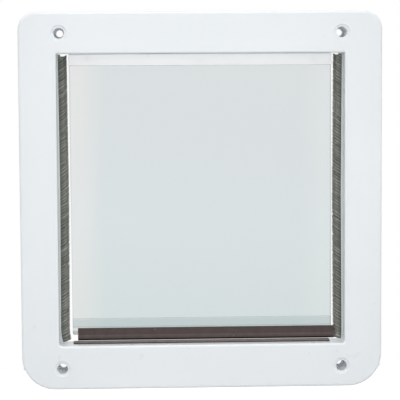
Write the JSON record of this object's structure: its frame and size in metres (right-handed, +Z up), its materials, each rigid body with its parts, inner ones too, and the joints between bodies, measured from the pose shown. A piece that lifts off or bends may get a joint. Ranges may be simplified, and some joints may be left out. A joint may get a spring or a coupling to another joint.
{
  "type": "dog flap",
  "caption": "Door-mounted dog flap: white moulded frame with tunnel, clear soft flap clamped at the top, magnet strips at the bottom and pile seals at the sides.",
  "frame": {"origin": "middle of the four fixing holes, on the plane of the frame's back", "axes": "+X to the right as seen from the front, -Y towards the viewer at the front, +Z up"},
  "size_m": [0.3, 0.0255, 0.313],
  "materials": {
    "white_plastic": "smooth moulded, slight sheen",
    "clear_sheet": "clear soft sheet with a faint blue-green tint",
    "magnet_rubber": "matt brown",
    "screw_steel": "zinc plated",
    "seal_backing": "stiff woven tape",
    "seal_pile": "dense grey-green pile"
  },
  "bodies": {
    "frame": {"frame": "white_plastic", "clamp_bar": "white_plastic", "flap_clamped_edge": "clear_sheet", "sill_magnet": "magnet_rubber", "clamp_screw_1": "screw_steel", "clamp_screw_2": "screw_steel", "clamp_screw_3": "screw_steel", "left_seal_backing": "seal_backing", "right_seal_backing": "seal_backing", "left_seal_pile": "seal_pile", "right_seal_pile": "seal_pile"},
    "flap": {"flap": "clear_sheet", "flap_magnet": "magnet_rubber"}
  },
  "joints": [
    {"name": "flap_swing", "type": "hinge", "parent": "frame", "child": "flap", "pos_m": [0, -0.01, 0.1105], "axis": [1, 0, 0], "range_deg": [-80, 80]}
  ]
}
